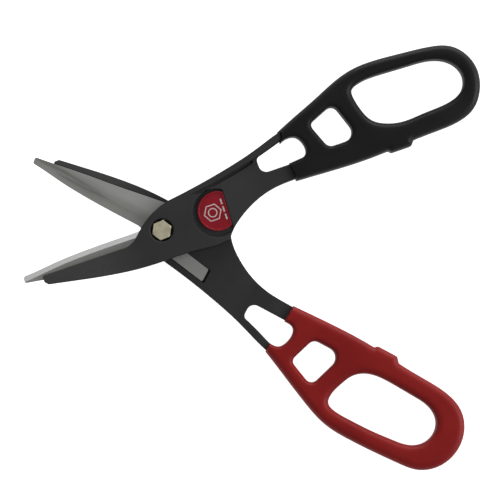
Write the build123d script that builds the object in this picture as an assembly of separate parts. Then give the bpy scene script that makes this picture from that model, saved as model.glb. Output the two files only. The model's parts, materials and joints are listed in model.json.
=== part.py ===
from build123d import *
from math import radians, tan
import os

# Cast-frame tin snips: two like halves crossed at one bolt, each with an inlaid steel blade and a
# soft loop grip. Lengths are in millimetres.
#
# Each half is drawn in a frame of its own, with the tool shut: the pivot axis is the origin, +X runs
# to the handle, +Y to the side that the handle lies on, and +Z out of the half's outer face. The two
# blades pass each other at z = 0. The back half is the front half turned over about X.

# Driving dimensions
HALF_OPENING = 23.6  # degrees that each half turns from shut to the rest pose
PIVOT_X, PIVOT_Y = -57.7, 3.3  # the pivot axis, from the middle of the whole object's box
HUB_HEIGHT = 9.5  # shear plane to the outer faces of the hub and the grips
JAW_TIP_HEIGHT = 5.4
ARM_HALF = 6.0  # half thickness of the arms, which are centred inside the grips
RIB_START, RIB_END, RIB_END_HEIGHT = 21.0, 92.0, 7.6
CORE_END = 240.0  # beyond the far end of the loop core
CASTING_GAP = 0.3  # shear plane to a casting's inner face
BLADE_GAP = 0.05  # shear plane to a blade's inner face
BLADE_TOP = 3.0
BEVEL_WIDTH, BEVEL_DEPTH = 3.2, 2.6
TAIL_END = 37.4
POCKET_PLAY, POCKET_TAIL_ROOM = 0.15, 1.3

SLOPE_START, SLOPE_END = 36.0, 68.0  # where the web sinks from the hub face to the arm
JAW_SLOPE_START, JAW_SLOPE_END = -25.0, -90.0  # where the outer face sinks towards the jaw's tip
FACE_BLEND = 250.0  # radius that joins the flat and the sloping stretches of the outer face
RAMP_START, RAMP_END, RAMP_BLEND = 67.0, 84.0, 15.0  # where the inner face drops across the shear plane

GROOVE_START, GROOVE_RUN_IN, GROOVE_END = 24.0, 6.0, 68.0
GROOVE_WIDTH, GROOVE_DEPTH = 1.6, 1.2

BADGE_X, BADGE_R, BADGE_FLAT = 37.0, 12.5, 6.4  # the flat is measured from the badge's centre
BADGE_TURN = -2.5  # degrees that the flat is turned from square to the half
BADGE_RECESS_R, BADGE_RECESS_SHIFT = 15.1, (-0.9, -1.0)  # the recess is wider towards the hub
BADGE_PLAY = 0.15
BADGE_FLOOR, BADGE_TOP = 6.9, 8.4

BOLT_R, RUNNING_PLAY = 3.175, 0.05
COUNTERBORE_R, COUNTERBORE_FLOOR = 6.8, 5.0
COUNTERSINK_R, COUNTERSINK_DEPTH = 7.6, 1.0
HEX_FLATS = 11.1
HEAD_TOP, HEAD_TURN = 9.3, 27.0
CHAMFER_R, CHAMFER_SLOPE = 5.7, 28.0  # of the bolt head's corners: radius at the top, degrees
SPRING_R, SPRING_THICKNESS = 6.2, 0.9
NUT_HEX_END, NUT_END, NUT_COLLAR_R = 8.4, 9.4, 4.7
RING_R, RING_START = 4.1, 8.5

SCREW_PLACES = [(-5.0, -8.6), (13.5, 7.6)]
SCREW_R, SCREW_HEAD_R, SCREW_HEAD_DEPTH, SCREW_END = 1.75, 3.1, 1.6, 6.6

HALF_WIDTH = 90.0  # more than a half reaches to either side of the pivot
ABOVE = 20.0  # higher than every piece

GRIP_ROUND, HOLE_ROUND = 4.0, 3.0
STOP_HALF_WIDTH = 7.0


def face(*edges):
    """The flat face inside a closed run of edges."""
    return Face(Wire(list(edges)))


def rounded(points, radii):
    """A closed outline with straight sides and a radius at each corner."""
    return Face(Wire(FilletPolyline(*points, radius=radii, close=True).edges()))


def prism(outline, low, high):
    """The outline drawn up from one height to another."""
    return extrude(Pos(0, 0, low) * outline, amount=high - low, dir=(0, 0, 1))


def side_prism(points, blends=None):
    """A side view, given in X and Z with a radius for each corner, drawn across a half's whole width."""
    outline = FilletPolyline(*points, radius=blends or [0] * len(points), close=True)
    upright = Pos(0, HALF_WIDTH, 0) * Rot(90, 0, 0) * Face(Wire(outline.edges()))
    return extrude(upright, amount=2 * HALF_WIDTH, dir=(0, -1, 0))


def cylinder(x, y, radius, low, high):
    return Pos(x, y, (low + high) / 2) * Cylinder(radius, high - low)


# Blade insert

def blade_outline(play=0.0, tail_end=TAIL_END):
    """The insert's outline, or its pocket's when it is given some play all round."""
    tail_rise = 0.163  # the tail's slope
    up, down, right = play, -play, play
    upper_corner = (tail_end, 12.2 + tail_rise * (tail_end - 12) + up)
    lower_corner = (tail_end, 4.7 + tail_rise * (tail_end - 19) + down)
    tip_top, tip_bottom = (-92.0 - play, 0.9 + up), (-92.4 - play, -3.3 + down)
    shoulder, neck = (-15, 4.2 + up), (12, 12.2 + up)
    root, heel = (19, 4.7 + down), (-5.5, -16.8 + down)
    return face(
        Spline(tip_top, (-80, 1.9 + up), (-70, 3.0 + up), (-60, 3.7 + up), (-45, 4.2 + up),
               (-30, 4.3 + up), shoulder),
        Spline(shoulder, (-9.5, 6.0 + up), (-3, 9.6 + up), (4, 11.5 + up), neck),
        Line(neck, upper_corner),
        Line(upper_corner, lower_corner),
        Line(lower_corner, root),
        Spline(root, (11 + right, 1.6 + down), (7 + right, -6.0), (1.5 + right, -14.0 + down), heel),
        Spline(heel, (-20, -14.5 + down), (-40, -11.3 + down), (-60, -8.5 + down),
               (-80, -5.2 + down), tip_bottom),
        Line(tip_bottom, tip_top),
    )


def ground_away():
    """What is ground off the insert's outer face, which leaves a sloping bevel at the cutting edge."""
    def outside(shift, height):
        edge = Spline((-96, 0.4 - shift), (-80, 1.9 - shift), (-70, 3.0 - shift), (-60, 3.7 - shift),
                      (-45, 4.2 - shift), (-30, 4.3 - shift), (-11, 4.1 - shift))
        return Pos(0, 0, height) * face(
            edge, Line(edge @ 1, (-11, 25)), Line((-11, 25), (-96, 25)), Line((-96, 25), edge @ 0)
        )
    rise = 1.4  # the cut runs on above the face by this share of the bevel
    return loft([
        outside(0, BLADE_TOP - BEVEL_DEPTH),
        outside(BEVEL_WIDTH * rise, BLADE_TOP + BEVEL_DEPTH * (rise - 1)),
    ], ruled=True)


def blade():
    """The insert: ground to an edge on its outer face, with corners eased."""
    body = prism(blade_outline(), BLADE_GAP, BLADE_TOP)
    uprights = body.edges().filter_by(Axis.Z)
    body = fillet([e for e in uprights if e.center().X > 30], 0.9)
    body = fillet([e for e in body.edges().filter_by(Axis.Z) if e.center().X < -90], 1.3)
    body -= ground_away()
    body -= cylinder(0, 0, BOLT_R + RUNNING_PLAY, -1, 5)
    for x, y in SCREW_PLACES:
        body -= screw_shape(x, y)
    return body


def screw_shape(x, y):
    """A countersunk screw, driven from the shear side into the casting."""
    head = Pos(x, y, BLADE_GAP + SCREW_HEAD_DEPTH / 2) * Rot(180, 0, 0) * Cone(
        SCREW_R, SCREW_HEAD_R, SCREW_HEAD_DEPTH
    )
    return head + cylinder(x, y, SCREW_R, BLADE_GAP + SCREW_HEAD_DEPTH - 0.2, SCREW_END)


def blade_screw(x, y):
    """The same screw with a cross recess."""
    recess = Pos(x, y, BLADE_GAP + 0.5) * (Box(3.4, 0.9, 1.0) + Box(0.9, 3.4, 1.0))
    return screw_shape(x, y) - recess


# Casting

def casting_outline():
    """The whole casting seen from above, with the loop core that the grip hides."""
    return face(
        Line((-79.6, -2.6), (-27, -3.0)),
        Spline((-27, -3.0), (-20, -1.5), (-13, 4.5), (-5, 10.5), (3, 14.3), (10, 16.3)),
        Spline(
            (10, 16.3), (30, 19.3), (50, 23.2), (70, 28.2), (88, 34.0), (100, 37.4), (120, 45.2),
            (140, 53.2), (155, 54.9), (175, 54.0), (203, 50.2), (213.5, 42.5), (218.2, 30.5),
            (215.6, 18.5), (206, 8.6), (190, 6.2), (160, 5.2), (125, 3.9), (90, 3.5), (80, 3.0),
            (70, 1.1), (60, -2.6), (50, -8.3), (43, -14.0), (39.2, -18.8),
        ),
        Spline((39.2, -18.8), (36.5, -19.6), (15, -18.9), (-5, -18.7), (-20, -18.3), (-40, -16.0),
               (-60, -12.5), (-78.4, -8.9)),
        Line((-78.4, -8.9), (-80.4, -6.9)),
        Line((-80.4, -6.9), (-80.4, -3.6)),
        Line((-80.4, -3.6), (-79.6, -2.6)),
    )


def casting_openings():
    """The slot, the square hole and the finger loop of the core."""
    return [
        rounded([(70.8, 13.2), (105.0, 13.2), (103.2, 33.6), (70.8, 23.7)], [5.0, 3, 3, 3.6]),
        rounded([(112.5, 12.4), (139.2, 12.4), (133.2, 45.2), (107.0, 35.2)], [5, 6, 4, 3.5]),
        rounded(
            [(138.6, 50.2), (176, 50.8), (203, 47.2), (213.4, 37), (213.4, 24), (203, 14.2),
             (166, 12.6), (150, 17.2), (141.9, 27)],
            [3.5, 40, 12, 10, 10, 14, 20, 14, 14],
        ),
    ]


def rib_lower_edge(drop=0.0):
    return Spline((20, 14.4 - drop), (30, 15.9 - drop), (40, 17.2 - drop), (50, 19.2 - drop),
                  (60, 21.4 - drop), (73, 24.6 - drop), (90, 29.9 - drop))


def rib_outline():
    """The raised border along the casting's upper edge."""
    edge = rib_lower_edge()
    return face(edge, Line(edge @ 1, (91, 40)), Line((91, 40), (20, 22)), Line((20, 22), edge @ 0))


def groove():
    """The line cut along the foot of the border, as deep all along but for its run-in by the hub."""
    upper, lower = rib_lower_edge(), rib_lower_edge(GROOVE_WIDTH)
    strip = face(upper, Line(upper @ 1, lower @ 1), lower, Line(lower @ 0, upper @ 0))
    above = side_prism([
        (GROOVE_START, HUB_HEIGHT), (GROOVE_START + GROOVE_RUN_IN, HUB_HEIGHT - GROOVE_DEPTH),
        (SLOPE_START, HUB_HEIGHT - GROOVE_DEPTH), (GROOVE_END, ARM_HALF - GROOVE_DEPTH),
        (GROOVE_END, ABOVE), (GROOVE_START, ABOVE),
    ])
    return prism(strip, 0, ABOVE) & above


def frame_body():
    outline = casting_outline()
    for opening in casting_openings():
        outline -= opening
    web = side_prism([
        (JAW_SLOPE_END, JAW_TIP_HEIGHT), (JAW_SLOPE_START, HUB_HEIGHT), (SLOPE_START, HUB_HEIGHT),
        (SLOPE_END, ARM_HALF), (CORE_END, ARM_HALF), (CORE_END, -ARM_HALF), (RAMP_END, -ARM_HALF),
        (RAMP_START, CASTING_GAP), (JAW_SLOPE_END, CASTING_GAP),
    ], [0, FACE_BLEND, FACE_BLEND, FACE_BLEND, 0, 0, RAMP_BLEND, RAMP_BLEND, 0])
    border = side_prism([
        (RIB_START, HUB_HEIGHT), (RIB_END, RIB_END_HEIGHT), (RIB_END, -ARM_HALF), (RAMP_END, -ARM_HALF),
        (RAMP_START, CASTING_GAP), (RIB_START, CASTING_GAP),
    ], [0, 0, 0, RAMP_BLEND, RAMP_BLEND, 0])
    whole = prism(outline, -HUB_HEIGHT - 1, HUB_HEIGHT + 1)
    strip = prism(rib_outline(), -HUB_HEIGHT - 2, HUB_HEIGHT + 2)
    return (whole & web) + (whole & border & strip)


def cut_disc(radius, flat, shift=(0, 0)):
    """A disc by the badge's centre with one side cut off straight."""
    kept = Pos(flat - HALF_WIDTH, 0) * Rectangle(2 * HALF_WIDTH, 2 * HALF_WIDTH)
    return Pos(BADGE_X, 0) * Rot(0, 0, BADGE_TURN) * (Pos(*shift) * Circle(radius) & kept)


def frame():
    body = frame_body()
    body -= prism(blade_outline(POCKET_PLAY, TAIL_END + POCKET_TAIL_ROOM), -1, BLADE_TOP)
    body -= groove()
    body -= cylinder(0, 0, COUNTERBORE_R, COUNTERBORE_FLOOR, ABOVE)
    countersink = Cone(COUNTERBORE_R, COUNTERSINK_R, COUNTERSINK_DEPTH)
    body -= Pos(0, 0, HUB_HEIGHT - COUNTERSINK_DEPTH / 2) * countersink
    body -= cylinder(0, 0, BOLT_R + RUNNING_PLAY, -1, ABOVE)
    body -= prism(cut_disc(BADGE_RECESS_R, BADGE_FLAT + BADGE_PLAY, BADGE_RECESS_SHIFT), BADGE_FLOOR, ABOVE)
    for x, y in SCREW_PLACES:
        body -= cylinder(x, y, SCREW_R, 0, SCREW_END)
    return body


def badge():
    """A D-shaped plate with a raised rim."""
    rim_width, rim_height, corner = 1.0, 0.4, 1.4
    outline = fillet(cut_disc(BADGE_R, BADGE_FLAT).vertices(), corner)
    plate = prism(outline, BADGE_FLOOR, BADGE_TOP)
    return plate - prism(offset(outline, -rim_width), BADGE_TOP - rim_height, BADGE_TOP + 1)


# Grips

def front_grip_outline():
    return face(
        Spline(
            (88.9, 35.0), (100, 39.8), (120, 48.0), (135, 54.3), (147, 57.4), (162, 58.0),
            (180, 56.7), (198, 54.8), (210, 51.0), (217.8, 43.0), (221.4, 31.0), (218.8, 18.5),
            (211, 8.4), (200, 4.1), (186, 2.9), (168, 2.2), (150, 0.8), (130, 0.3), (110, 1.0),
            (90.3, 1.9),
        ),
        Line((90.3, 1.9), (89.6, 13.9)),
        Line((89.6, 13.9), (98, 14.6)),
        Spline((98, 14.6), (101.3, 16.2), (102.3, 20.0), (101.3, 24.5), (98.7, 28.2), (95, 29.3),
               (88.2, 27.4)),
        Line((88.2, 27.4), (88.9, 35.0)),
    )


def front_grip_holes():
    square = rounded([(109.4, 33.0), (127.6, 40.6), (136.4, 15.3), (116.3, 15.3)], [3.5, 4.5, 6.5, 5])
    loop = face(Spline(
        (141.3, 41), (142.6, 45.4), (146.5, 47.3), (160, 48.6), (180, 47.8), (198, 45.8),
        (207.4, 40.0), (211.2, 30.6), (207.9, 22.4), (199, 17.9), (180, 16.2), (165, 15.6),
        (155, 18.1), (147.3, 23.2), (143.2, 32), periodic=True,
    ))
    return [square, loop]


def back_grip_outline():
    return face(
        Spline(
            (93.5, 36.6), (110, 44.0), (130, 53.0), (140, 57.0), (150, 59.6), (165, 60.5),
            (182, 60.1), (200, 59.1), (213, 57.0), (223.6, 49.0), (229.3, 34.0), (227.2, 21.0),
            (219, 10.6), (206, 5.6), (190, 4.3), (172, 3.4), (151, 1.6), (130, 1.3), (112, 1.9),
            (95.4, 2.7),
        ),
        Line((95.4, 2.7), (94.9, 14.0)),
        Line((94.9, 14.0), (98.6, 14.1)),
        Spline((98.6, 14.1), (102.2, 16.0), (103.2, 20.5), (102.0, 26.0), (99.2, 29.8), (96.0, 30.6),
               (93.3, 30.4)),
        Line((93.3, 30.4), (93.5, 36.6)),
    )


def back_grip_holes():
    square = rounded([(110.3, 34.0), (128.8, 41.9), (137.4, 15.5), (116.5, 15.5)], [3.5, 4.5, 6.5, 5])
    loop = face(Spline(
        (142.6, 43.2), (144.3, 47.1), (148.5, 48.7), (160, 49.3), (175, 49.0), (190, 47.7),
        (202, 45.2), (208.9, 39.2), (211, 31.5), (208.6, 24.2), (202, 19.2), (188, 17.2),
        (170, 16.6), (162, 17.1), (154, 19.8), (148.6, 24.7), (144.8, 33), periodic=True,
    ))
    return [square, loop]


def stop_pad(start, end, reach):
    """The block that meets the other grip's when the tool is shut."""
    shape = rounded([(start - 3.0, 6), (start + 0.2, reach), (end - 0.2, reach), (end + 4.6, 6)],
                    [0.4, 0.8, 0.8, 0.4])
    block = prism(shape, -STOP_HALF_WIDTH, STOP_HALF_WIDTH)
    return fillet([e for e in block.edges() if e.center().Y < reach + 0.1 and e.length > 8], 0.7)


def grip(outline, holes, pad):
    """A soft loop handle, rounded all along its outer and inner edges."""
    def rims(body, shortest, longest=1000.0):
        return [e for e in body.edges()
                if abs(e.center().Z) > HUB_HEIGHT - 0.1 and shortest < e.length < longest]

    body = prism(outline, -HUB_HEIGHT, HUB_HEIGHT)
    body = fillet(rims(body, 200), GRIP_ROUND)
    slot_end = [e for e in rims(body, 15) if 96 < e.center().X < 106]
    body = fillet(slot_end, HOLE_ROUND)
    for hole in holes:
        body -= prism(hole, -HUB_HEIGHT - 1, HUB_HEIGHT + 1)
        size = hole.bounding_box()
        around = [
            e for e in rims(body, 0, 200)
            if size.min.X - 1 < e.center().X < size.max.X + 1
            and size.min.Y - 1 < e.center().Y < size.max.Y + 1
        ]
        body = fillet(around, HOLE_ROUND)
    return body + pad


# Pivot, drawn in the row frame's directions: the head is on the front, the nut on the back

def hexagon(flats, low, high, turn):
    return prism(Rot(0, 0, turn) * RegularPolygon(flats / 2, 6, major_radius=False), low, high)


def pivot_bolt():
    """The bolt, with the corners of its head chamfered."""
    head_low = COUNTERBORE_FLOOR + RUNNING_PLAY
    depth = HEAD_TOP - head_low
    head = hexagon(HEX_FLATS, head_low, HEAD_TOP, HEAD_TURN)
    spread = CHAMFER_R + depth / tan(radians(CHAMFER_SLOPE))
    head &= Pos(0, 0, head_low + depth / 2) * Cone(spread, CHAMFER_R, depth)
    return head + cylinder(0, 0, BOLT_R, -NUT_END, head_low + 1)


def pivot_nut():
    start = COUNTERBORE_FLOOR + SPRING_THICKNESS
    nut = hexagon(HEX_FLATS, -NUT_HEX_END, -start, HEAD_TURN)
    nut += cylinder(0, 0, NUT_COLLAR_R, -NUT_END, -NUT_HEX_END + 0.5)
    nut -= cylinder(0, 0, RING_R, -ABOVE, -RING_START)
    return nut - cylinder(0, 0, BOLT_R, -ABOVE, 0)


def pivot_nut_ring():
    return cylinder(0, 0, RING_R, -NUT_END + 0.1, -RING_START) - cylinder(0, 0, BOLT_R, -ABOVE, 0)


def pivot_disc_spring():
    """The disc spring under the nut, pressed flat."""
    low = -COUNTERBORE_FLOOR - SPRING_THICKNESS
    washer = cylinder(0, 0, SPRING_R, low, -COUNTERBORE_FLOOR)
    return washer - cylinder(0, 0, BOLT_R + 0.2, -ABOVE, 0)


def place(piece, side):
    """Takes a half's piece from its own frame to the rest pose."""
    if side == "back":
        return Rot(0, 0, -HALF_OPENING) * Rot(180, 0, 0) * piece
    return Rot(0, 0, HALF_OPENING) * piece


pieces = {
    "pivot_bolt": pivot_bolt(),
    "pivot_nut": pivot_nut(),
    "pivot_nut_ring": pivot_nut_ring(),
    "pivot_disc_spring": pivot_disc_spring(),
}
grips = {
    "front": grip(front_grip_outline(), front_grip_holes(), stop_pad(152.4, 166.6, -0.9)),
    "back": grip(back_grip_outline(), back_grip_holes(), stop_pad(153.8, 168.4, 0.0)),
}
casting = frame()
for side in ("front", "back"):
    pieces[side + "_frame"] = place(casting, side)
    pieces[side + "_blade"] = place(blade(), side)
    pieces[side + "_badge"] = place(badge(), side)
    pieces[side + "_grip"] = place(grips[side] - casting, side)
    for number, (x, y) in enumerate(SCREW_PLACES, 1):
        pieces[f"{side}_blade_screw_{number}"] = place(blade_screw(x, y), side)

os.makedirs("parts", exist_ok=True)
row_frame = Pos(PIVOT_X, PIVOT_Y, HUB_HEIGHT)
for name, piece in pieces.items():
    export_step(row_frame * piece, f"parts/{name}.step")
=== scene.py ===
import json
import math

import bmesh
import bpy
import numpy as np
from mathutils import Matrix, Vector
from mathutils.geometry import delaunay_2d_cdt


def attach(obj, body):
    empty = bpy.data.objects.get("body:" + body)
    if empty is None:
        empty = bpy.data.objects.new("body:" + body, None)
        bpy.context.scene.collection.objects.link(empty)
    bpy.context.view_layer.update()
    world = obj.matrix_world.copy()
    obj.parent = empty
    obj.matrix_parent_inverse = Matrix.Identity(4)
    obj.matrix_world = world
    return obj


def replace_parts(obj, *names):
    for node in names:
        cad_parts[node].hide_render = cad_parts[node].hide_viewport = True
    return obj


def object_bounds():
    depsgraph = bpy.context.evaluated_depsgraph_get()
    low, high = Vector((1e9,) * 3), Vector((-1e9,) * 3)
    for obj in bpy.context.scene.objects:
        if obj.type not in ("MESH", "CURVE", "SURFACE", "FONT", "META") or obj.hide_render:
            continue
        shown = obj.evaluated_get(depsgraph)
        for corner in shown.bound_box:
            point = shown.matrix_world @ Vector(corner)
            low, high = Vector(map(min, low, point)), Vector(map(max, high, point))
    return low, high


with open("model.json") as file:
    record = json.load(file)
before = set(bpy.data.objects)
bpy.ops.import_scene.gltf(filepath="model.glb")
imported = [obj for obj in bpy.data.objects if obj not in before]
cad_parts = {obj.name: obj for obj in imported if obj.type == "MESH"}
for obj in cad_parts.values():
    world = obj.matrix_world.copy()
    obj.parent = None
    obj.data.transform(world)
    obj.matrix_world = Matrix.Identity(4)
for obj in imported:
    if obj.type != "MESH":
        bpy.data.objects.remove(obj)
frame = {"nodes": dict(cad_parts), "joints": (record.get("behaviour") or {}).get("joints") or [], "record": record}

box_at_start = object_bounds()

MM = 0.001
HALF_OPENING = 23.6  # degrees that each half is turned from shut in the rest pose
PIVOT = Vector(frame["joints"][0]["pos_m"])
TURN = {"front": HALF_OPENING, "back": -HALF_OPENING}
SLOT_OF = {part["node"]: part["material_slot"] for part in frame["record"]["subparts"]}

scene = bpy.context.scene
scene.view_settings.view_transform = "Standard"


# Camera: nearly square to the tool as it lies, from a little towards the red handle

AIM = Vector((-1.4, -4.4, 9.5)) * MM
VIEW_WIDTH = 315.5 * MM
CAMERA_DISTANCE = 2.2
CAMERA_ROLL = 4.57
CAMERA_TILT, CAMERA_LEAN = 2.2, -0.8
SENSOR_MM = 36.0
CLIP_END = 20.0


def add_camera():
    data = bpy.data.cameras.new("camera")
    camera = bpy.data.objects.new("camera", data)
    scene.collection.objects.link(camera)
    data.sensor_width = SENSOR_MM
    data.lens = SENSOR_MM * CAMERA_DISTANCE / VIEW_WIDTH
    data.clip_end = CLIP_END
    turn = Matrix.Rotation(math.radians(CAMERA_ROLL), 3, "Z")
    tilt = Matrix.Rotation(math.radians(CAMERA_TILT), 3, "X")
    lean = Matrix.Rotation(math.radians(CAMERA_LEAN), 3, "Y")
    stance = turn @ tilt @ lean
    place = AIM + stance @ Vector((0, 0, CAMERA_DISTANCE))
    camera.matrix_world = Matrix.Translation(place) @ stance.to_4x4()
    scene.camera = camera


# Light: a pale surround that is dim towards -Y, and softboxes to the sides

BRIGHT_WAY = Vector((0.35, 0.94, 0))


def add_surround(horizon, zenith, dim_side):
    world = bpy.data.worlds.new("surround")
    scene.world = world
    world.use_nodes = True
    tree = world.node_tree
    direction = add(tree, "ShaderNodeTexCoord").outputs["Generated"]
    up = add(tree, "ShaderNodeSeparateXYZ", {"Vector": direction}).outputs["Z"]
    towards = add(tree, "ShaderNodeVectorMath", {0: direction, 1: BRIGHT_WAY}, operation="DOT_PRODUCT")
    around = remap(tree, towards.outputs["Value"], -0.6, 0.5, dim_side, horizon, smooth=True)
    rise = remap(tree, up, 0.3, 0.9, 0.0, 1.0, smooth=True)
    level = add(tree, "ShaderNodeMix", {"Factor": rise, "A": around, "B": zenith}).outputs["Result"]
    connect(tree, tree.nodes["Background"], Color=(1, 1, 1, 1), Strength=level)


def add_softbox(name, place, width, height, power):
    data = bpy.data.lights.new(name, "AREA")
    data.shape = "RECTANGLE"
    data.size = width
    data.size_y = height
    data.energy = power
    lamp = bpy.data.objects.new(name, data)
    scene.collection.objects.link(lamp)
    lamp.location = place
    lamp.rotation_euler = (-Vector(place)).to_track_quat("-Z", "Y").to_euler()


# Node helpers

def add(tree, kind, values=None, **settings):
    """Adds a node, sets what is given, and links each value that is a socket."""
    node = tree.nodes.new(kind)
    for name, value in settings.items():
        setattr(node, name, value)
    for name, value in (values or {}).items():
        if isinstance(value, bpy.types.NodeSocket):
            tree.links.new(value, node.inputs[name])
        else:
            node.inputs[name].default_value = value
    return node


def new_material(name):
    material = bpy.data.materials.new(name)
    material.use_nodes = True
    return material, material.node_tree, material.node_tree.nodes["Principled BSDF"]


def millimetres(tree, turn=0.0):
    """Coordinates on the piece itself in millimetres, turned to run along its own half."""
    source = add(tree, "ShaderNodeTexCoord").outputs["Object"]
    moved = add(tree, "ShaderNodeVectorMath", {0: source, 1: PIVOT}, operation="SUBTRACT")
    spun = add(tree, "ShaderNodeVectorRotate", {
        "Vector": moved.outputs["Vector"], "Angle": math.radians(-turn),
    }, rotation_type="Z_AXIS")
    scaled = add(tree, "ShaderNodeVectorMath", {
        0: spun.outputs["Vector"], "Scale": 1 / MM,
    }, operation="SCALE")
    return scaled.outputs["Vector"]


def noise(tree, vector, scale, detail=2.0, roughness=0.5, stretch=None):
    if stretch:
        stretched = add(tree, "ShaderNodeVectorMath", {0: vector, 1: stretch}, operation="MULTIPLY")
        vector = stretched.outputs["Vector"]
    return add(tree, "ShaderNodeTexNoise", {
        "Vector": vector, "Scale": scale, "Detail": detail, "Roughness": roughness,
    }).outputs["Fac"]


def remap(tree, value, start, end, low, high, smooth=False):
    return add(tree, "ShaderNodeMapRange", {
        "Value": value, "From Min": start, "From Max": end, "To Min": low, "To Max": high,
    }, interpolation_type="SMOOTHSTEP" if smooth else "LINEAR").outputs["Result"]


def spread(tree, value, low, high):
    """A noise value, most of which lies between 0.3 and 0.7, spread from low to high."""
    return remap(tree, value, 0.3, 0.7, low, high)


def patchy(tree, value):
    """A noise value sharpened into patches, from none to whole."""
    return remap(tree, value, 0.35, 0.65, 0.0, 1.0)


def maths(tree, operation, first, second=0.0):
    return add(tree, "ShaderNodeMath", {0: first, 1: second}, operation=operation).outputs["Value"]


def plus(tree, first, second):
    return maths(tree, "ADD", first, second)


def minus(tree, first, second):
    return maths(tree, "SUBTRACT", first, second)


def times(tree, first, second):
    return maths(tree, "MULTIPLY", first, second)


def mix(tree, factor, first, second):
    """A colour between two, each given as three numbers or as a socket."""
    def colour(value):
        return value if isinstance(value, bpy.types.NodeSocket) else (*value, 1.0)
    return add(tree, "ShaderNodeMix", {"Factor": factor, 6: colour(first), 7: colour(second)},
               data_type="RGBA").outputs[2]


def bump(tree, height, depth_mm, normal=None):
    values = {"Height": height, "Strength": 1.0, "Distance": depth_mm * MM}
    if normal:
        values["Normal"] = normal
    return add(tree, "ShaderNodeBump", values).outputs["Normal"]


def connect(tree, shader, **sockets):
    for name, value in sockets.items():
        socket = shader.inputs[name.replace("_", " ")]
        if isinstance(value, bpy.types.NodeSocket):
            tree.links.new(value, socket)
        else:
            socket.default_value = value


# Materials

def edge_wear(tree, vector, radius_mm, softness):
    """Where an outer edge is worn, broken up by noise."""
    rounded = add(tree, "ShaderNodeBevel", {"Radius": radius_mm * MM}, samples=4).outputs["Normal"]
    true_normal = add(tree, "ShaderNodeNewGeometry").outputs["Normal"]
    agreement = add(tree, "ShaderNodeVectorMath", {0: rounded, 1: true_normal}, operation="DOT_PRODUCT")
    edge = remap(tree, agreement.outputs["Value"], 1.0, 1.0 - softness, 0.0, 1.0)
    patches = remap(tree, noise(tree, vector, 0.35, 4.0, 0.65), 0.45, 0.7, 0.0, 1.0)
    return times(tree, edge, patches)


def steepness(tree):
    """None where the surface is level, whole where it is upright."""
    normal = add(tree, "ShaderNodeNewGeometry").outputs["Normal"]
    level = maths(tree, "ABSOLUTE", add(tree, "ShaderNodeSeparateXYZ", {"Vector": normal}).outputs["Z"])
    return minus(tree, 1.0, level)


def casting_material(side):
    """Matte charcoal coating over a cast surface, with painted light on the jaw and painted shade down the sides.
    """
    material, tree, shader = new_material(f"casting_{side}")
    vector = millimetres(tree)
    drift = noise(tree, vector, 0.045, 3.0)
    fine = noise(tree, vector, 2.4, 3.0, 0.6)
    coarse = noise(tree, vector, 0.5, 2.0)
    tone = mix(tree, spread(tree, drift, 0.0, 1.0), (0.033, 0.0333, 0.0337), (0.040, 0.040, 0.0402))
    along = add(tree, "ShaderNodeSeparateXYZ", {"Vector": millimetres(tree, TURN[side])}).outputs["X"]
    # Painted light: the coating is painted paler towards the jaw, broken into patches by noise.
    by_the_jaw = remap(tree, along, -12.0, -45.0, 0.0, 1.0, smooth=True)
    jaw_painted_light = times(tree, by_the_jaw, spread(tree, coarse, 0.75, 1.0))
    tone = mix(tree, jaw_painted_light, tone, (0.068, 0.068, 0.0685))
    worn = edge_wear(tree, vector, 0.7, 0.12)
    tone = mix(tree, times(tree, worn, 0.55), tone, (0.075, 0.075, 0.075))
    # Painted shade: upright faces and the rounding of edges are painted darker, for the shade down the sides.
    sides = remap(tree, steepness(tree), 0.06, 0.4, 0.0, 0.85, smooth=True)
    tone = mix(tree, sides, tone, (0.010, 0.010, 0.0102))
    rough = spread(tree, fine, 0.46, 0.62)
    texture = plus(tree, fine, times(tree, coarse, 1.6))
    connect(tree, shader, Base_Color=tone, Roughness=rough, Metallic=0.0, Specular_IOR_Level=0.2,
            Normal=bump(tree, texture, 0.035))
    return material


STAIN = {"back": 0.75, "front": 0.0}
EDGE_HEIGHT = 4.3  # where a blade is straight, from the pivot's line to the cutting edge
EDGE_BEND = 40.0  # where the edge starts to fall away towards the tip, from the pivot
EDGE_DROOP = 0.0015  # how much it falls, by the square of the distance from there


def edge_distance(tree, along, across):
    """How far a point of a blade lies inside its cutting edge."""
    beyond = maths(tree, "MAXIMUM", minus(tree, times(tree, along, -1.0), EDGE_BEND), 0.0)
    droop = times(tree, times(tree, beyond, beyond), EDGE_DROOP)
    return minus(tree, minus(tree, EDGE_HEIGHT, droop), across)


def stained_strip(tree, vector, along, to_edge):
    """A strip of stain along the edge, drawn out lengthwise and fading towards the pivot."""
    strip = times(tree, remap(tree, to_edge, 1.5, 4.5, 0.0, 1.0, smooth=True),
                  remap(tree, to_edge, 6.0, 9.5, 1.0, 0.0, smooth=True))
    drawn = noise(tree, vector, 1.0, 3.0, 0.6, stretch=(0.035, 0.5, 0.5))
    strip = times(tree, strip, remap(tree, drawn, 0.35, 0.6, 0.2, 1.0))
    return times(tree, strip, remap(tree, along, -30.0, -48.0, 0.35, 1.0, smooth=True))


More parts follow.
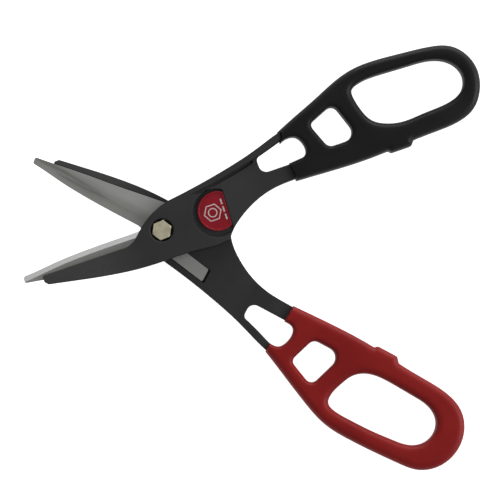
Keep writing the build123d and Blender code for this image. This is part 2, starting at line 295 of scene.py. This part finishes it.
def steel_material(side):
    """Ground steel with fine cross grinding, handling smudges and a stained strip, with painted light towards the
    spine and a painted highlight on the bevel.
    """
    material, tree, shader = new_material(f"blade_steel_{side}")
    vector = millimetres(tree, TURN[side])
    split = add(tree, "ShaderNodeSeparateXYZ", {"Vector": vector})
    along, across = split.outputs["X"], split.outputs["Y"]
    if side == "back":
        across = times(tree, across, -1.0)
    to_edge = edge_distance(tree, along, across)
    lines = noise(tree, vector, 1.0, 3.0, 0.7, stretch=(9.0, 0.25, 0.25))
    fine_lines = noise(tree, vector, 1.0, 2.0, 0.6, stretch=(22.0, 0.9, 0.9))
    smudge = noise(tree, vector, 0.075, 4.0, 0.6)
    cloud = noise(tree, vector, 0.03, 2.0, 0.5)
    base = mix(tree, patchy(tree, smudge), (0.52, 0.52, 0.51), (0.46, 0.46, 0.425))
    # Painted reflection: the blade is painted paler towards its spine.
    spine_painted_light = remap(tree, to_edge, 8.0, 12.5, 0.0, 0.6, smooth=True)
    base = mix(tree, spine_painted_light, base, (0.66, 0.66, 0.65))
    stain = times(tree, stained_strip(tree, vector, along, to_edge), STAIN[side])
    base = mix(tree, stain, base, (0.21, 0.21, 0.19))
    base = mix(tree, remap(tree, lines, 0.35, 0.65, 0.0, 0.25), base, (0.50, 0.50, 0.49))
    # Painted highlight: tilted faces, such as the ground bevel, are painted brighter than the flat.
    bevel_painted_highlight = remap(tree, steepness(tree), 0.004, 0.012, 0.0, 1.0)
    base = mix(tree, bevel_painted_highlight, base, (0.56, 0.56, 0.555))
    rough = plus(tree, spread(tree, cloud, 0.42, 0.54), spread(tree, smudge, -0.03, 0.06))
    height = plus(tree, lines, times(tree, fine_lines, 0.7))
    connect(tree, shader, Base_Color=base, Roughness=rough, Metallic=1.0, Normal=bump(tree, height, 0.006))
    return material


def screw_material():
    """Dark oiled steel."""
    material, tree, shader = new_material("screw_steel")
    vector = millimetres(tree)
    patches = noise(tree, vector, 0.9, 4.0, 0.6)
    tone = mix(tree, patchy(tree, patches), (0.16, 0.155, 0.15), (0.30, 0.29, 0.28))
    rough = spread(tree, patches, 0.32, 0.5)
    connect(tree, shader, Base_Color=tone, Roughness=rough, Metallic=1.0,
            Normal=bump(tree, noise(tree, vector, 4.0, 2.0), 0.006))
    return material


def zinc_material():
    """Pale yellow chromate over zinc."""
    material, tree, shader = new_material("zinc_plate")
    vector = millimetres(tree)
    bloom = noise(tree, vector, 0.28, 3.0, 0.6)
    grain = noise(tree, vector, 3.5, 3.0, 0.6)
    tone = mix(tree, patchy(tree, bloom), (0.66, 0.61, 0.44), (0.50, 0.46, 0.32))
    rough = spread(tree, grain, 0.48, 0.6)
    connect(tree, shader, Base_Color=tone, Roughness=rough, Metallic=0.4, Normal=bump(tree, grain, 0.008))
    return material


def nylon_material():
    """Natural nylon, slightly waxy."""
    material, tree, shader = new_material("nylon")
    vector = millimetres(tree)
    cloud = noise(tree, vector, 0.8, 2.0)
    tone = mix(tree, cloud, (0.72, 0.70, 0.62), (0.60, 0.58, 0.50))
    connect(tree, shader, Base_Color=tone, Roughness=spread(tree, cloud, 0.35, 0.5),
            Subsurface_Weight=0.2, Subsurface_Scale=0.5 * MM, Normal=bump(tree, cloud, 0.01))
    return material


def badge_material():
    """Glossy crimson enamel."""
    material, tree, shader = new_material("badge")
    vector = millimetres(tree)
    cloud = noise(tree, vector, 0.12, 3.0)
    orange_peel = noise(tree, vector, 1.3, 2.0)
    tone = mix(tree, patchy(tree, cloud), (0.25, 0.004, 0.013), (0.31, 0.006, 0.018))
    connect(tree, shader, Base_Color=tone, Roughness=spread(tree, orange_peel, 0.2, 0.3),
            Coat_Weight=0.1, Coat_Roughness=0.25, Specular_IOR_Level=0.35,
            Normal=bump(tree, orange_peel, 0.008))
    return material


def print_material():
    """Pale ink, slightly worn."""
    material, tree, shader = new_material("print")
    vector = millimetres(tree)
    wear = noise(tree, vector, 1.4, 4.0, 0.65)
    tone = mix(tree, remap(tree, wear, 0.5, 0.7, 0.0, 1.0), (0.66, 0.56, 0.55), (0.42, 0.16, 0.17))
    connect(tree, shader, Base_Color=tone, Roughness=spread(tree, wear, 0.4, 0.6),
            Normal=bump(tree, wear, 0.004))
    return material


def grip_material(name, dark, light):
    """Satin soft plastic with a fine moulded grain."""
    material, tree, shader = new_material(name)
    vector = millimetres(tree)
    drift = noise(tree, vector, 0.035, 3.0)
    grain = noise(tree, vector, 3.2, 2.0, 0.55)
    peel = noise(tree, vector, 0.7, 2.0)
    tone = mix(tree, patchy(tree, drift), dark, light)
    rough = plus(tree, spread(tree, grain, 0.4, 0.5), spread(tree, drift, -0.04, 0.05))
    texture = plus(tree, grain, times(tree, peel, 1.5))
    connect(tree, shader, Base_Color=tone, Roughness=rough, Metallic=0.0, Specular_IOR_Level=0.27,
            Normal=bump(tree, texture, 0.012))
    return material


def dress(piece, material):
    piece.data.materials.clear()
    piece.data.materials.append(material)


# CAD pieces: their sharp edges are rounded

JOIN_WITHIN = 1e-6  # metres
FLAT_BELOW = 0.5  # degrees
ROUND_ABOVE = 40.0  # degrees


def round_edges(node, width_mm, segments, clamp=True):
    """Joins a CAD node's faces along their edges, then rounds the sharp edges."""
    modifiers = frame["nodes"][node].modifiers
    joined = modifiers.new("joined faces", "WELD")
    joined.merge_threshold = JOIN_WITHIN
    whole = modifiers.new("whole flats", "DECIMATE")
    whole.decimate_type = "DISSOLVE"
    whole.angle_limit = math.radians(FLAT_BELOW)
    rounded = modifiers.new("rounded edges", "BEVEL")
    rounded.width = width_mm * MM
    rounded.segments = segments
    rounded.limit_method = "ANGLE"
    rounded.angle_limit = math.radians(ROUND_ABOVE)
    rounded.use_clamp_overlap = clamp
    rounded.miter_outer = "MITER_ARC"
    shading = modifiers.new("flat faces shade flat", "WEIGHTED_NORMAL")
    shading.mode = "FACE_AREA"
    shading.weight = 100


# Grips: on the outline of the CAD solid, a crowned section and the mould's raised seam

# Lengths are in millimetres.

SECTION_HEIGHT = 6.1  # clear of the cavity inside the grip, and below the rounding of its rim
SECTION_JOIN, SECTION_REACH = 1e-3, 1e-4  # corners closer than this are one, or lie on the section's plane
SHORTEST_STEP = 0.02
POINT_SPACING = 0.6
SMOOTHINGS = 3
SHARP_TURN = 35.0  # degrees

WALL_HALF = 4.6  # half the height of the upright band round a grip
WALL_INSET = 0.06
GRIP_HALF = 9.45
SEAM_ROWS = ((0.0, 0.1), (0.17, 0.08), (0.4, 0.0), (1.6, 0.0))  # height from the middle, and outward step
CROWN_POWER = 2.2
CROWN_WIDTHS = {"outer": 5.0, "mouth": 0.9, "slot": 2.4, "loop": 4.8, "square": 2.8}
SMOOTH_BELOW = 40.0  # degrees

CROWN_LEVELS = (0.25, 0.43, 0.58, 0.7, 0.8, 0.88, 0.94, 0.98)  # shares of the rise that get a row of points
ROW_CLEARANCE = 0.97  # a row's points keep this share of the row's distance from every edge
ROW_GAP, ROW_GAP_SHARE = 0.3, 0.45  # points stand this far apart, or this share of the row's distance
FILL_SPACING = 1.4
FILL_CLEARANCE = 0.6
FILL_GAP = 0.7
CELL = 1.0  # of the grid that finds a point's neighbours
MERGE_BELOW = 1e-5
SLIVER = 1e-5  # square millimetres
BATCH = 2000  # points whose distances are worked out at once


def half_frame(side):
    """From a half's own frame, in millimetres with the pivot at its origin, to the row frame."""
    turn = Matrix.Rotation(math.radians(HALF_OPENING), 4, "Z")
    if side == "back":
        turn = Matrix.Rotation(math.radians(-HALF_OPENING), 4, "Z") @ Matrix.Rotation(math.pi, 4, "X")
    return Matrix.Translation(PIVOT) @ turn @ Matrix.Scale(MM, 4)


def section(node, side, height):
    """The closed outlines of a CAD node at one height of its half's own frame, longest first."""
    cut = bmesh.new()
    cut.from_mesh(frame["nodes"][node].data)
    cut.transform(half_frame(side).inverted())
    bmesh.ops.remove_doubles(cut, verts=cut.verts, dist=SECTION_JOIN)
    geometry = cut.verts[:] + cut.edges[:] + cut.faces[:]
    found = bmesh.ops.bisect_plane(
        cut, geom=geometry, plane_co=(0, 0, height), plane_no=(0, 0, 1), dist=SECTION_REACH
    )
    beside = {}
    for edge in (part for part in found["geom_cut"] if isinstance(part, bmesh.types.BMEdge)):
        first, second = edge.verts
        beside.setdefault(first, []).append(second)
        beside.setdefault(second, []).append(first)
    outlines = []
    while beside:
        here = next(iter(beside))
        outline = []
        while here is not None:
            outline.append((here.co.x, here.co.y))
            after = [vertex for vertex in beside.pop(here) if vertex in beside]
            here = after[0] if after else None
        outlines.append(np.array(outline))
    cut.free()
    return sorted(outlines, key=len, reverse=True)


def run_length(run):
    return np.sum(np.linalg.norm(np.diff(run, axis=0), axis=1))


def counter_clockwise(outline):
    after = np.roll(outline, -1, axis=0)
    area = np.sum(outline[:, 0] * after[:, 1] - after[:, 0] * outline[:, 1])
    return outline if area > 0 else outline[::-1]


def split_at_corners(outline):
    """The runs between the sharp outward corners of a counterclockwise outline."""
    steps = np.linalg.norm(outline - np.roll(outline, 1, axis=0), axis=1)
    outline = outline[steps > SHORTEST_STEP]
    before = outline - np.roll(outline, 1, axis=0)
    after = np.roll(outline, -1, axis=0) - outline
    cross = before[:, 0] * after[:, 1] - before[:, 1] * after[:, 0]
    turn = np.degrees(np.arctan2(cross, np.sum(before * after, axis=1)))
    corners = np.flatnonzero(turn > SHARP_TURN)
    ends = list(corners[1:]) + [corners[0] + len(outline)]
    return [outline[np.arange(start, end + 1) % len(outline)] for start, end in zip(corners, ends)]


def even_out(run):
    """The same run with its points evenly spaced and small kinks eased."""
    travelled = np.concatenate([[0.0], np.cumsum(np.linalg.norm(np.diff(run, axis=0), axis=1))])
    places = np.linspace(0.0, travelled[-1], max(2, round(travelled[-1] / POINT_SPACING)) + 1)
    points = np.stack([np.interp(places, travelled, run[:, axis]) for axis in (0, 1)], axis=1)
    for _ in range(SMOOTHINGS):
        points[1:-1] = 0.5 * points[1:-1] + 0.25 * (points[:-2] + points[2:])
    return points


def distance_to(points, run):
    """The distance from each point to a run of straight pieces."""
    start, step = run[:-1], np.diff(run, axis=0)
    length = np.sum(step * step, axis=1)
    nearest = np.empty(len(points))
    for low in range(0, len(points), BATCH):
        away = points[low:low + BATCH, None, :] - start
        share = np.clip(np.sum(away * step, axis=2) / length, 0.0, 1.0)
        gap = away - share[:, :, None] * step
        nearest[low:low + BATCH] = np.sqrt(np.min(np.sum(gap * gap, axis=2), axis=1))
    return nearest


def distance_to_nearest(points, runs):
    return np.min([distance_to(points, run) for run in runs], axis=0)


def inside(points, outlines):
    """Which points lie inside the first outline and outside the others."""
    crossings = np.zeros(len(points), int)
    for outline in outlines:
        for (ax, ay), (bx, by) in zip(outline, np.roll(outline, -1, axis=0)):
            if ay != by:
                spans = (ay > points[:, 1]) != (by > points[:, 1])
                crossings += spans & (points[:, 0] < ax + (points[:, 1] - ay) * (bx - ax) / (by - ay))
    return crossings % 2 == 1


def outward_normals(ring):
    """Unit normals of a closed ring, to the right of its direction."""
    along = np.roll(ring, -1, axis=0) - np.roll(ring, 1, axis=0)
    along /= np.linalg.norm(along, axis=1)[:, None]
    return np.stack([along[:, 1], -along[:, 0]], axis=1)


def named_runs(node, side):
    """A grip's outlines as rings of named runs: the outer ring counterclockwise, the holes clockwise."""
    outer, *holes = section(node, side, SECTION_HEIGHT)
    runs = split_at_corners(counter_clockwise(outer))
    by_length = sorted(range(len(runs)), key=lambda index: -run_length(runs[index]))
    kinds = ["mouth"] * len(runs)
    kinds[by_length[0]] = "outer"
    kinds[by_length[1]] = "slot"
    rings = [[(kind, even_out(run)) for kind, run in zip(kinds, runs)]]
    for kind, hole in zip(("loop", "square"), holes):
        hole = counter_clockwise(hole)[::-1]
        rings.append([(kind, even_out(np.vstack([hole, hole[:1]])))])
    return rings


def rise_over(points, rings):
    """The share of the crown's rise at each point: none at an edge, whole where the top is flat."""
    share = np.ones(len(points))
    for kind in CROWN_WIDTHS:
        runs = [run for ring in rings for name, run in ring if name == kind]
        away = distance_to_nearest(points, runs)
        left = 1.0 - np.clip(away / CROWN_WIDTHS[kind], 0.0, 1.0)
        share *= (1.0 - left ** CROWN_POWER) ** (1.0 / CROWN_POWER)
    return share


def cover_points(rings, closed):
    """Points to span a grip's face: rows along each edge where the crown bends, then an even fill."""
    everything = [run for ring in rings for _, run in ring]
    row_shares = 1.0 - (1.0 - np.array(CROWN_LEVELS) ** CROWN_POWER) ** (1.0 / CROWN_POWER)
    rows = []
    for kind, run in (named for ring in rings for named in ring):
        along = np.gradient(run, axis=0)
        along /= np.linalg.norm(along, axis=1)[:, None]
        inward = np.stack([-along[:, 1], along[:, 0]], axis=1)
        for distance in row_shares * CROWN_WIDTHS[kind]:
            row = run + inward * distance
            rows.append((distance, row[distance_to_nearest(row, everything) > ROW_CLEARANCE * distance]))
    low, high = closed[0].min(0), closed[0].max(0)
    columns = np.arange(low[0], high[0], FILL_SPACING)
    lines = np.arange(low[1], high[1], FILL_SPACING)
    grid = np.stack(np.meshgrid(columns, lines), axis=-1).reshape(-1, 2)
    grid = grid[inside(grid, closed)]
    rows.append((np.inf, grid[distance_to_nearest(grid, everything) > FILL_CLEARANCE]))
    return thinned(rows, closed)


def thinned(rows, closed):
    """The rows' points that lie inside the outlines and don't crowd one kept before."""
    kept = {}
    for distance, row in sorted(rows, key=lambda item: item[0]):
        gap = min(ROW_GAP, ROW_GAP_SHARE * distance) if distance < np.inf else FILL_GAP
        for x, y in row[inside(row, closed)]:
            column, line = int(x // CELL), int(y // CELL)
            around = [(column + i, line + j) for i in (-1, 0, 1) for j in (-1, 0, 1)]
            crowd = (point for cell in around for point in kept.get(cell, ()))
            if all((x - px) ** 2 + (y - py) ** 2 > gap * gap for px, py in crowd):
                kept.setdefault((column, line), []).append((x, y))
    return [point for points in kept.values() for point in points]


def flat_cover(rings, closed):
    """A grip's face as points and flat triangles, with the outlines' own points picked out in order."""
    edges = []
    count = 0
    for ring in closed:
        edges += [(count + index, count + (index + 1) % len(ring)) for index in range(len(ring))]
        count += len(ring)
    given = [Vector(point) for ring in closed for point in ring]
    given += [Vector(point) for point in cover_points(rings, closed)]
    points, _, triangles, origins, _, _ = delaunay_2d_cdt(given, edges, [], 0, MERGE_BELOW)
    points = np.array([tuple(point) for point in points])
    triangles = np.array([list(face) for face in triangles])
    triangles = triangles[inside(points[triangles].mean(axis=1), closed)]
    (ax, ay), (bx, by) = (points[triangles[:, corner]].T - points[triangles[:, 0]].T for corner in (1, 2))
    triangles = triangles[ax * by - ay * bx > SLIVER]
    place = {origin: index for index, found in enumerate(origins) for origin in found}
    return points, triangles, [place[index] for index in range(count)]


def join_rows(mesh, lower, upper):
    """Four-sided faces between two closed rows of vertices."""
    for index in range(len(lower)):
        after = (index + 1) % len(lower)
        mesh.faces.new((lower[index], lower[after], upper[after], upper[index]))


def add_wall(mesh, ring, normal, bottom, top):
    """The upright band along one outline, with the seam round its middle."""
    levels = [(-z, step) for z, step in reversed(SEAM_ROWS[1:])] + list(SEAM_ROWS)
    rows = [bottom]
    for z, step in levels:
        rows.append([mesh.verts.new((*(point + step * out), z)) for point, out in zip(ring, normal)])
    rows.append(top)
    for lower, upper in zip(rows, rows[1:]):
        join_rows(mesh, lower, upper)


def crowned_grip(side):
    """A closed crowned shell in place of a half's CAD grip."""
    node = side + "_grip"
    rings = named_runs(node, side)
    closed = [np.vstack([run[:-1] for _, run in ring]) for ring in rings]
    normals = [outward_normals(ring) for ring in closed]
    closed = [ring - WALL_INSET * normal for ring, normal in zip(closed, normals)]
    points, triangles, outline = flat_cover(rings, closed)
    share = rise_over(points, rings)
    share[outline] = 0.0
    height = WALL_HALF + (GRIP_HALF - WALL_HALF) * share

    mesh = bmesh.new()
    top = [mesh.verts.new((x, y, z)) for (x, y), z in zip(points, height)]
    bottom = [mesh.verts.new((x, y, -z)) for (x, y), z in zip(points, height)]
    for a, b, c in triangles:
        mesh.faces.new((top[a], top[b], top[c]))
        mesh.faces.new((bottom[c], bottom[b], bottom[a]))
    places = iter(outline)
    for ring, normal in zip(closed, normals):
        own = [next(places) for _ in ring]
        add_wall(mesh, ring, normal, [bottom[place] for place in own], [top[place] for place in own])
    loose = [vertex for vertex in mesh.verts if not vertex.link_faces]
    bmesh.ops.delete(mesh, geom=loose, context="VERTS")
    mesh.transform(half_frame(side))
    piece = finished_piece(node + "_shell", mesh, side + "_half")
    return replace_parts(piece, node)


def finished_piece(name, mesh, body):
    """A smooth-shaded object from a bmesh, riding on a body."""
    bmesh.ops.recalc_face_normals(mesh, faces=mesh.faces)
    data = bpy.data.meshes.new(name)
    mesh.to_mesh(data)
    mesh.free()
    data.shade_smooth()
    data.set_sharp_from_angle(angle=math.radians(SMOOTH_BELOW))
    piece = bpy.data.objects.new(name, data)
    scene.collection.objects.link(piece)
    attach(piece, body)
    return piece


# Badge print: a nut-shaped ring round a circle, and three dashes along the straight side

PRINT_RISE = 0.06
RING_SIZES = ((5.9, 5.1), (3.0, 2.3))
RING_SIDES = (6, 48)
RING_CENTRE = -3.2  # from the middle of the badge's round side
DASH_PLACES, DASH_HALF, DASH_HALF_WIDTH = (-5.0, 0.0, 5.0), 1.8, 0.5
DASH_ROW = 4.1
BADGE_RIM = 0.4  # how far the badge's face lies below its rim


def circle(x, y, radius, sides):
    angles = [2 * math.pi * index / sides for index in range(sides)]
    return [(x + radius * math.cos(angle), y + radius * math.sin(angle)) for angle in angles]


def extent(node, side):
    """A CAD node's lowest and highest corners in its half's own frame."""
    back = half_frame(side).inverted()
    points = np.array([back @ vertex.co for vertex in frame["nodes"][node].data.vertices])
    return points.min(0), points.max(0)


def add_ring(mesh, outer, inner, bottom, top):
    """A flat band between two closed outlines of as many points."""
    corners = ((outer, bottom), (outer, top), (inner, top), (inner, bottom))
    rows = [[mesh.verts.new((*point, height)) for point in outline] for outline, height in corners]
    for row, after in zip(rows, rows[1:] + rows[:1]):
        join_rows(mesh, row, after)


def add_dash(mesh, x, y, bottom, top):
    corners = [(x - DASH_HALF_WIDTH, y - DASH_HALF), (x + DASH_HALF_WIDTH, y - DASH_HALF),
               (x + DASH_HALF_WIDTH, y + DASH_HALF), (x - DASH_HALF_WIDTH, y + DASH_HALF)]
    lower = [mesh.verts.new((*point, bottom)) for point in corners]
    upper = [mesh.verts.new((*point, top)) for point in corners]
    mesh.faces.new(lower[::-1])
    mesh.faces.new(upper)
    join_rows(mesh, lower, upper)


def badge_print(side):
    """The pale pattern on a badge, as one thin piece."""
    node = side + "_badge"
    low, high = extent(node, side)
    radius = (high[1] - low[1]) / 2
    centre_x, centre_y = low[0] + radius, (high[1] + low[1]) / 2
    bottom = high[2] - BADGE_RIM - PRINT_RISE
    top = high[2] - BADGE_RIM + PRINT_RISE
    mesh = bmesh.new()
    for sizes, sides in zip(RING_SIZES, RING_SIDES):
        outer, inner = (circle(centre_x + RING_CENTRE, centre_y, size, sides) for size in sizes)
        add_ring(mesh, outer, inner, bottom, top)
    for place in DASH_PLACES:
        add_dash(mesh, centre_x + DASH_ROW, centre_y + place, bottom, top)
    mesh.transform(half_frame(side))
    return finished_piece(node + "_print", mesh, side + "_half")


# Floor

FLOOR_SIZE = 6.0  # metres
FLOOR_GAP = 0.02 * MM  # keeps the floor clear of the faces that rest on it
FLOOR_GLOW = 0.4


def add_floor():
    """A lit white table, pure white to the camera."""
    bpy.ops.mesh.primitive_plane_add(size=FLOOR_SIZE, location=(0, 0, box_at_start[0].z - FLOOR_GAP))
    floor = bpy.context.object
    floor.name = "floor"
    material, tree, shader = new_material("floor")
    seen = add(tree, "ShaderNodeLightPath").outputs["Is Camera Ray"]
    connect(tree, shader, Base_Color=(0.75, 0.75, 0.75, 1), Roughness=0.7,
            Emission_Color=(1, 1, 1, 1), Emission_Strength=remap(tree, seen, 0.0, 1.0, FLOOR_GLOW, 1.0))
    floor.data.materials.append(material)


# The scene

CASTING_ROUND, SMALL_ROUND = 0.55, 0.15  # millimetres

add_camera()
add_surround(horizon=0.6, zenith=0.27, dim_side=0.4)
add_softbox("right_softbox", place=(1.3, 0.15, 0.8), width=1.2, height=0.8, power=10)
add_softbox("upper_softbox", place=(0.25, 1.35, 0.42), width=1.5, height=0.4, power=9)
add_floor()

materials = {
    "screw_steel": screw_material(),
    "zinc_plate": zinc_material(),
    "nylon": nylon_material(),
    "badge": badge_material(),
    "print": print_material(),
    "black_grip": grip_material("black_grip", (0.0062, 0.0062, 0.0064), (0.0082, 0.0082, 0.0085)),
    "red_grip": grip_material("red_grip", (0.245, 0.0062, 0.0062), (0.29, 0.009, 0.008)),
}
for side in ("front", "back"):
    materials["casting_" + side] = casting_material(side)
    materials["blade_steel_" + side] = steel_material(side)

for node, obj in frame["nodes"].items():
    slot = SLOT_OF[node]
    side = "front" if node.startswith("front") else "back"
    dress(obj, materials.get(slot) or materials[f"{slot}_{side}"])

for side in ("front", "back"):
    dress(crowned_grip(side), materials[SLOT_OF[side + "_grip"]])
    round_edges(side + "_frame", CASTING_ROUND, 3, clamp=False)
    round_edges(side + "_badge", SMALL_ROUND, 2)
    dress(badge_print(side), materials["print"])

for node in ("pivot_nut", "pivot_nut_ring", "pivot_disc_spring"):
    round_edges(node, SMALL_ROUND, 2)
